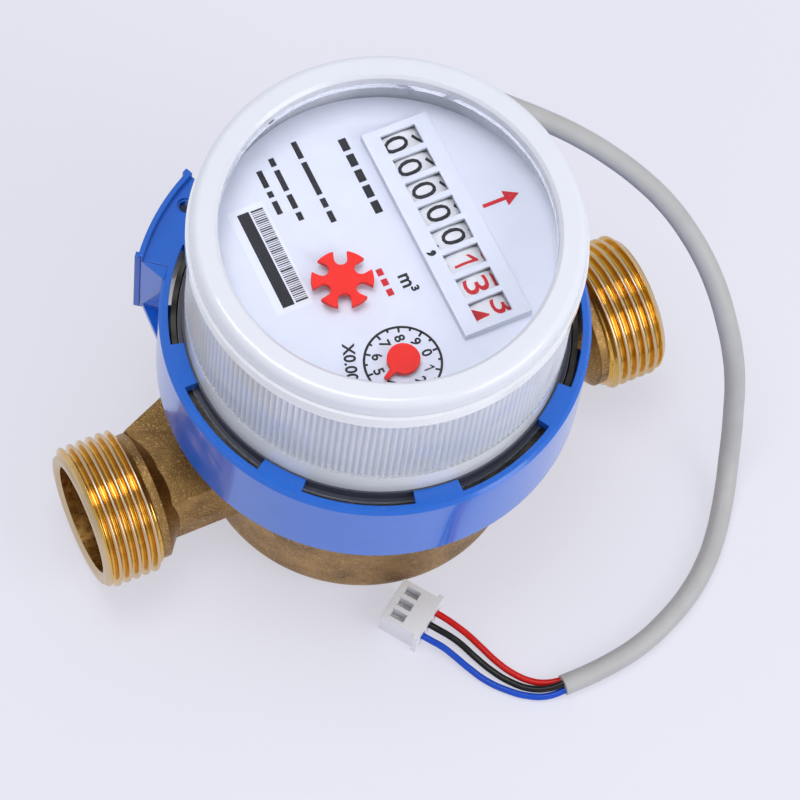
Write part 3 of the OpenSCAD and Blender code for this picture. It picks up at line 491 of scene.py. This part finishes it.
MATERIALS = {
    "cast_brass": cast_brass(),
    "bridge_brass": turned_brass("bridge_brass", (0.72, 0.52, 0.22), (0.60, 0.42, 0.17), 0.3),
    "pivot_steel": ground_steel(),
    "tinned_contact": turned_brass("tinned_contact", (0.72, 0.72, 0.70), (0.60, 0.60, 0.58), 0.3),
    "ferrite": moulded("ferrite", (0.06, 0.06, 0.065), 0.55, 0.05),
    "blue_plastic": moulded("blue_plastic", (0.010, 0.150, 0.70), 0.16, 0.008, 0.06, 0.3, Coat_Weight=0.35),
    "clear_plastic": clear_plastic(),
    "white_gloss": moulded("white_gloss", (0.80, 0.82, 0.90), 0.22, 0.01, 0.02, 0.3, Coat_Weight=0.3),
    "white_plastic": moulded("white_plastic", (0.88, 0.89, 0.92), 0.45),
    "dial_white": moulded("dial_white", (0.68, 0.70, 0.80), 0.42, 0.008, 0.03, 0.15),
    "roller_white": moulded("roller_white", (0.74, 0.74, 0.77), 0.4, 0.01, 0.05, 0.1),
    "red_plastic": moulded("red_plastic", (0.84, 0.016, 0.009), 0.5, 0.008, 0.05, 0.15,
                           Specular_IOR_Level=0.15),
    "grey_plastic": moulded("grey_plastic", (0.30, 0.31, 0.33), 0.5),
    "black_plastic": moulded("black_plastic", (0.025, 0.025, 0.027), 0.5),
    "natural_plastic": moulded("natural_plastic", (0.78, 0.76, 0.68), 0.5),
    "pinion_orange": moulded("pinion_orange", (0.80, 0.33, 0.06), 0.45),
    "ivory_plastic": moulded("ivory_plastic", (0.94, 0.95, 1.0), 0.38, 0.012, 0.03, 0.15),
    "board_green": board(),
    "black_rubber": moulded("black_rubber", (0.02, 0.02, 0.021), 0.6, 0.03),
    "grey_jacket": moulded("grey_jacket", (0.49, 0.485, 0.485), 0.48, 0.02, 0.08, 0),
    "red_jacket": moulded("red_jacket", (0.70, 0.010, 0.008), 0.24, 0.01, 0.08, 0,
                          Specular_IOR_Level=0.25),
    "black_jacket": moulded("black_jacket", (0.012, 0.012, 0.014), 0.24, 0.01, 0.2, 0,
                            Specular_IOR_Level=0.3),
    "blue_jacket": moulded("blue_jacket", (0.012, 0.085, 0.60), 0.24, 0.01, 0.1, 0,
                           Specular_IOR_Level=0.25),
}
BLACK_INK = moulded("black_ink", (0.016, 0.016, 0.021), 0.5, 0.004, 0.2, 0, Specular_IOR_Level=0.15)
RED_INK = moulded("red_ink", (0.62, 0.012, 0.022), 0.5, 0.004, 0.1, 0, Specular_IOR_Level=0.15)
# Dark colour of the ring at the barrel's foot, which darkens the line there and the collar's slots.
DARK_RING_RUBBER = moulded("dark_ring_rubber", (0.085, 0.09, 0.122), 0.35, 0.01, 0.1, 0)
BORE_BRASS = turned_brass("bore_brass", (0.66, 0.39, 0.115), (0.46, 0.26, 0.07), 0.3)
LABEL_PAPER = moulded("label_paper", (0.74, 0.755, 0.82), 0.38, 0.006, 0.03, 0)
THREAD_BRASS = thread_brass()
# Rim and cup brass, coloured near black as painted shade.
SHADE_DARKENED_RIM_BRASS = turned_rim()


def dress(obj, *materials):
    """Gives an object these materials; clearing an empty list would reset its faces' own choice."""
    if obj.data.materials:
        obj.data.materials.clear()
    for material in materials:
        obj.data.materials.append(material)


for row in frame["record"]["subparts"]:
    dress(nodes[row["node"]], MATERIALS[row["material_slot"]])
dress(lead, MATERIALS["grey_jacket"])
for colour, core in cores.items():
    dress(core, MATERIALS[f"{colour}_jacket"])


# Mesh helpers

def add_piece(name, mesh, body, slot, *materials):
    """A new piece of the scene that rides on a body."""
    piece = bpy.data.objects.new(name, mesh)
    bpy.context.scene.collection.objects.link(piece)
    dress(piece, *materials)
    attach(piece, body)
    return piece


def mesh_from(name, bm):
    mesh = bpy.data.meshes.new(name)
    bm.to_mesh(mesh)
    bm.free()
    return mesh


# Brass body: the casting with real threads cut into its pipe ends

def thread_radius(x, angle):
    """Radius of the thread's surface at a distance along the pipe and an angle about it."""
    phase = (x / THREAD_PITCH - angle / (2 * math.pi)) % 1.0
    flank = min(1.0, max(0.0, FLANK_STEEPNESS * (1 - abs(2 * phase - 1)) - ROOT_FLAT))
    r = THREAD_R - THREAD_DEPTH * (1 - flank * flank * (3 - 2 * flank))
    lead_in = THREAD_R - LEAD_IN_DROP + THREAD_END - x
    run_out = RELIEF_R + RUN_OUT_SLOPE * (x - THREAD_START)
    return max(RELIEF_R, min(r, lead_in, run_out))


def add_thread(bm, side):
    """Thread, end face and edge of the bore on one side of the body."""
    rows, around = THREAD_ROWS, ROUND_STEPS
    profile = [THREAD_START + (THREAD_END - THREAD_START) * k / rows for k in range(rows + 1)]
    rings = []
    for x in profile:
        rings.append([(x, thread_radius(x, 2 * math.pi * j / around)) for j in range(around)])
    rings.append([(THREAD_END, BORE_R + BORE_EDGE)] * around)
    rings.append([(THREAD_END - BORE_EDGE, BORE_R)] * around)
    made = []
    for ring in rings:
        row = []
        for j, (x, r) in enumerate(ring):
            a = 2 * math.pi * j / around
            row.append(bm.verts.new((side * x, r * math.cos(a), PIPE_Z + r * math.sin(a))))
        made.append(row)
    for low, high in zip(made, made[1:]):
        for j in range(around):
            k = (j + 1) % around
            quad = (low[j], low[k], high[k], high[j])
            face = bm.faces.new(quad if side < 0 else quad[::-1])
            face.smooth = True
            face.material_index = THREAD_SLOT


def body_face_kind(face):
    """What was done to the part of the casting that a face lies on."""
    c = face.calc_center_median()
    reach = math.hypot(c.y, c.z - PIPE_Z)
    outward = face.normal.y * c.y + face.normal.z * (c.z - PIPE_Z)
    # Faces that look at the pipe's axis, and steps across it
    inside = outward < -0.5 * reach or abs(face.normal.x) > 0.99
    outside_bore = reach > BORE_R + FACE_SLACK
    if abs(c.x) > THREAD_START - 2 * FACE_SLACK and outside_bore:
        return "cut"
    if abs(c.x) > NECK_START and inside and not outside_bore:
        return "turned"
    if c.z > RIM_FLOOR or math.hypot(c.x, c.y) < CUP_R and c.z > CUP_FLOOR:
        return "rim"
    return "cast"


def make_body():
    """The casting with its plain pipe ends replaced by threaded ones."""
    bm = bmesh.new()
    bm.from_mesh(nodes["brass_body"].data)
    kinds = {face: body_face_kind(face) for face in bm.faces}
    slots = {"cast": CAST_SLOT, "cut": CAST_SLOT, "turned": BORE_SLOT, "rim": RIM_SLOT}
    for face, kind in kinds.items():
        face.material_index = slots[kind]
    bmesh.ops.delete(bm, geom=[f for f, kind in kinds.items() if kind == "cut"], context="FACES")
    for v in bm.verts:
        if abs(v.co.x) > THREAD_END - BORE_EDGE:
            v.co.x = math.copysign(THREAD_END - BORE_EDGE, v.co.x)
    for side in (-1, 1):
        add_thread(bm, side)
    bmesh.ops.recalc_face_normals(bm, faces=bm.faces)
    piece = add_piece("body_casting", mesh_from("body_casting", bm), "meter_body", "cast_brass",
                      MATERIALS["cast_brass"], THREAD_BRASS, SHADE_DARKENED_RIM_BRASS, BORE_BRASS)
    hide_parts("brass_body")


make_body()


# Dark ring: it lies on the clear flange and stands up round the barrel's foot, inside the collar's lip, and
# darkens the line at the barrel's foot and the collar's slots

def make_washer():
    """An L-shaped section turned about the upright axis."""
    around = ROUND_STEPS
    inner, outer, step = BARREL_R + DARK_RING_GAP, CLAMP_R - DARK_RING_GAP, BARREL_R + DARK_RING_UPSTAND
    flat = CLAMP_TOP + DARK_RING_T
    section = [(inner, CLAMP_TOP), (outer, CLAMP_TOP), (outer, flat), (step, flat),
               (step, DARK_RING_TOP), (inner, DARK_RING_TOP)]
    bm = bmesh.new()
    rings = []
    for j in range(around):
        a = 2 * math.pi * j / around
        rings.append([bm.verts.new((r * math.cos(a), r * math.sin(a), z)) for r, z in section])
    for j in range(around):
        here, there = rings[j], rings[(j + 1) % around]
        for k in range(len(section)):
            n = (k + 1) % len(section)
            bm.faces.new((here[k], there[k], there[n], here[n]))
    bmesh.ops.recalc_face_normals(bm, faces=bm.faces)
    add_piece("dark_foot_ring", mesh_from("dark_foot_ring", bm), "register", "black_rubber", DARK_RING_RUBBER)


make_washer()


# Print: flat shapes laid on the dial, and digits wrapped round the rollers

def one_mesh(height, stroke):
    """Mesh of a digit one with a slanted flag, in shares of its height."""
    half = height / 2
    points = [(0, -half), (stroke, -half), (stroke, half), (stroke * 0.25, half),
              (-height * 0.26, height * 0.24), (-height * 0.26, height * 0.1), (0, height * 0.28)]
    mesh = bpy.data.meshes.new("one")
    mesh.from_pydata([(x + height * 0.06, y, 0) for x, y in points], [], [(0, 1, 2, 6), (2, 3, 4, 5, 6)])
    return mesh


def glyph_mesh(text, height, width=None, bold=BOLD):
    """Mesh of one line of text in metres, centred, with its own width if given."""
    if text == "1":
        return one_mesh(height, height * (ONE_STROKE + bold))
    data = bpy.data.curves.new("glyph", "FONT")
    data.body, data.resolution_u, data.offset = text, GLYPH_STEPS, bold
    data.align_x = "CENTER"
    holder = bpy.data.objects.new("glyph", data)
    bpy.context.scene.collection.objects.link(holder)
    bpy.context.view_layer.update()
    mesh = bpy.data.meshes.new_from_object(holder.evaluated_get(bpy.context.evaluated_depsgraph_get()))
    bpy.data.objects.remove(holder)
    bpy.data.curves.remove(data)
    low = [min(v.co[k] for v in mesh.vertices) for k in (0, 1)]
    high = [max(v.co[k] for v in mesh.vertices) for k in (0, 1)]
    tall = height / (high[1] - low[1])
    wide = width / (high[0] - low[0]) if width else tall
    for v in mesh.vertices:
        v.co = ((v.co.x - (low[0] + high[0]) / 2) * wide, (v.co.y - (low[1] + high[1]) / 2) * tall, 0)
    return mesh


def make_digits(index):
    """Ten digits round one roller, tops towards +X at the window, the reading's digit on top."""
    node = f"roller_{index + 1}"
    mid_y = COUNTER_Y + ROLLER_PITCH * (ROLLER_COUNT / 2 - index - 0.5)
    axis_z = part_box(node)[1].z - ROLLER_R
    bm = bmesh.new()
    for digit in range(10):
        part = bmesh.new()
        mesh = glyph_mesh(str(digit), DIGIT_H, DIGIT_W, DIGIT_BOLD)
        part.from_mesh(mesh)
        bpy.data.meshes.remove(mesh)
        for k in range(1, DIGIT_CUTS):
            height = DIGIT_H * (k / DIGIT_CUTS - 0.5)
            bmesh.ops.bisect_plane(part, geom=part.verts[:] + part.edges[:] + part.faces[:],
                                   plane_co=(0, height, 0), plane_no=(0, 1, 0))
        offset = (digit - READING[index] + 5) % 10 - 5
        r = ROLLER_R + PRINT_LIFT
        for v in part.verts:
            turn = -offset * DIGIT_STEP + v.co.y / ROLLER_R
            v.co = (COUNTER_X + r * math.sin(turn), mid_y - v.co.x, axis_z + r * math.cos(turn))
        whole = bpy.data.meshes.new("part")
        part.to_mesh(whole)
        part.free()
        bm.from_mesh(whole)
        bpy.data.meshes.remove(whole)
    ink = RED_INK if index >= RED_FROM else BLACK_INK
    add_piece(f"{node}_digits", mesh_from(f"{node}_digits", bm), f"{node}_set", "roller_white", ink)


for roller in range(ROLLER_COUNT):
    make_digits(roller)


class Print:
    """Collects flat shapes on the dial: up is +X, and lines read towards -Y."""

    def __init__(self, name, ink, z=None):
        self.name, self.ink, self.bm = name, ink, bmesh.new()
        self.z = (DIAL_Z if z is None else z) + PRINT_LIFT

    def put(self, u, v, at, turn=0.0):
        """Turns a place on the page, u to the right and v up, into a point on the dial."""
        c, s = math.cos(turn), math.sin(turn)
        u, v = u * c + v * s, v * c - u * s
        return Vector((at[0] + v, at[1] - u, self.z))

    def shape(self, points, at, turn=0.0):
        self.bm.faces.new([self.bm.verts.new(self.put(u, v, at, turn)) for u, v in points])

    def bar(self, width, height, at, turn=0.0):
        w, h = width / 2, height / 2
        self.shape([(-w, -h), (w, -h), (w, h), (-w, h)], at, turn)

    def ring(self, r, width, at):
        for k in range(RING_STEPS):
            a, b = (2 * math.pi * j / RING_STEPS for j in (k, k + 1))
            self.shape([(s * math.sin(t), s * math.cos(t)) for s, t in
                        ((r - width, a), (r - width, b), (r, b), (r, a))], at)

    def text(self, words, height, at, turn=0.0):
        mesh = glyph_mesh(words, height)
        for v in mesh.vertices:
            v.co = self.put(v.co.x, v.co.y, at, turn)
        self.bm.from_mesh(mesh)
        bpy.data.meshes.remove(mesh)

    def finish(self):
        bmesh.ops.recalc_face_normals(self.bm, faces=self.bm.faces)
        for face in self.bm.faces:
            if face.normal.z < 0:
                face.normal_flip()
        add_piece(self.name, mesh_from(self.name, self.bm), "register", "dial_white", self.ink)


def print_small_dial():
    """Ring, ticks, numerals and factor of the small dial."""
    page = Print("small_dial_print", BLACK_INK)
    at = SMALL_DIAL
    page.ring(SMALL_DIAL_R, SMALL_DIAL_LINE, at)
    for k in range(TICK_COUNT):
        a = 2 * math.pi * k / TICK_COUNT
        length = TICK_LONG if k % 2 == 0 else TICK_SHORT
        mid = SMALL_DIAL_R - TICK_INSET - length / 2
        page.bar(TICK_W, length, (at[0] + mid * math.cos(a), at[1] - mid * math.sin(a)), a)
    for k in range(10):
        a = 2 * math.pi * k / 10
        page.text(str(k), NUMERAL_H, (at[0] + NUMERAL_R * math.cos(a), at[1] - NUMERAL_R * math.sin(a)))
    page.text("X0.0001", FACTOR_H, FACTOR_AT, FACTOR_TURN)
    page.finish()


def print_unit():
    """The unit beside the counter."""
    page = Print("unit_print", BLACK_INK)
    page.text("m³", UNIT_H, UNIT_AT)
    page.finish()


def print_rows():
    """Rows of plain blocks on the dial."""
    page = Print("dial_rows_print", BLACK_INK)
    for x, y, height, widths in DIAL_ROWS:
        y *= MM
        for width in widths:
            page.bar(width * MM, height * MM, (x * MM, y - width * MM / 2))
            y -= width * MM + ROW_GAP
    page.finish()
    page = Print("red_rows_print", RED_INK)
    for at in RED_BLOCKS_AT:
        page.bar(*RED_BLOCK, at)
    page.finish()


def print_comma():
    """The decimal comma on the counter's frame."""
    page = Print("comma_print", BLACK_INK, FRAME_Z)
    page.text(",", COMMA_H, COMMA_AT)
    page.finish()


def print_arrow():
    """The arrow that shows which way the water runs."""
    page = Print("flow_arrow_print", RED_INK)
    at = ARROW_AT
    page.bar(*ARROW_SHAFT, (at[0] - ARROW_SHAFT_DROP, at[1]))
    page.shape(ARROW_HEAD, at)
    page.finish()


def print_label():
    """A paper label with one plain bar and a row of lines of uneven width."""
    at = LABEL_AT
    paper = Print("label", LABEL_PAPER)
    paper.bar(LABEL_LONG, LABEL_WIDE, at)
    paper.finish()
    page = Print("label_print", BLACK_INK)
    page.z += PRINT_LIFT
    page.bar(*LABEL_BAR, (at[0] - LABEL_BAR_DROP, at[1]))
    for k in range(LABEL_LINES):
        width = LINE_W + FIFTH_LINE_MORE * (k % 5 == 0) + THIRD_LINE_MORE * (k % 3 == 0)
        along = LABEL_LINES_LONG * (0.5 - (k + 0.5) / LABEL_LINES)
        page.bar(width, LABEL_LINES_WIDE, (at[0] + LABEL_LINES_RISE, at[1] + along))
    page.finish()


print_small_dial()
print_unit()
print_rows()
print_comma()
print_arrow()
print_label()


# Floor, lamps and world

def make_floor():
    """A pale paper floor that takes shadows and that the camera, metal and glass see as nearly white."""
    data = bpy.data.meshes.new("floor")
    half = FLOOR_HALF
    corners = [(-half, -half, 0), (half, -half, 0), (half, half, 0), (-half, half, 0)]
    data.from_pydata(corners, [], [(0, 1, 2, 3)])
    floor = bpy.data.objects.new("floor", data)
    bpy.context.scene.collection.objects.link(floor)
    floor.location.z = -FLOOR_DROP
    g = Graph("floor_paper")
    paper = g.blend(g.span(g.noise(0.004, 2), 0.3, 0.7), (0.80, 0.80, 0.89), (0.83, 0.83, 0.92))
    g.colour(paper).roughness(g.span(g.noise(0.5), 0.3, 0.7, 0.55, 0.7))
    g.bump(g.noise(1.5), 0.01 * MM)
    glow = g.add("ShaderNodeEmission")
    g.link(paper, glow.inputs["Color"])
    light = g.add("ShaderNodeLightPath")
    seen = g.math("ADD", light.outputs["Is Camera Ray"], light.outputs["Is Glossy Ray"])
    seen = g.math("MINIMUM", g.math("ADD", seen, light.outputs["Is Transmission Ray"]), 1.0)
    mix = g.add("ShaderNodeMixShader")
    g.link(g.math("MULTIPLY", seen, FLOOR_GLOW), mix.inputs[0])
    g.link(g.shader.outputs[0], mix.inputs[1])
    g.link(glow.outputs[0], mix.inputs[2])
    g.link(mix.outputs[0], g.output.inputs["Surface"])
    floor.data.materials.append(g.done())


def make_lamp(name, place, size, power):
    """A round soft lamp that points at the middle of the object."""
    data = bpy.data.lights.new(name, "AREA")
    data.shape, data.size, data.energy = "DISK", size, power
    lamp = bpy.data.objects.new(name, data)
    lamp.location = place
    lamp.rotation_euler = (Vector(LAMP_AIM) - Vector(place)).to_track_quat("-Z", "Y").to_euler()
    bpy.context.scene.collection.objects.link(lamp)


def make_world():
    """An even, slightly cool sky."""
    world = bpy.data.worlds.new("studio")
    world.use_nodes = True
    shade = world.node_tree.nodes["Background"]
    shade.inputs["Color"].default_value = WORLD_COLOUR
    shade.inputs["Strength"].default_value = WORLD_STRENGTH
    bpy.context.scene.world = world


make_floor()
make_lamp("key", place=(-0.10, 0.10, 1.0), size=0.5, power=2.8)
make_lamp("fill", place=(0.40, -0.60, 0.50), size=0.6, power=2.4)
make_world()
bpy.context.scene.view_settings.view_transform = "Standard"

bpy.context.view_layer.update()
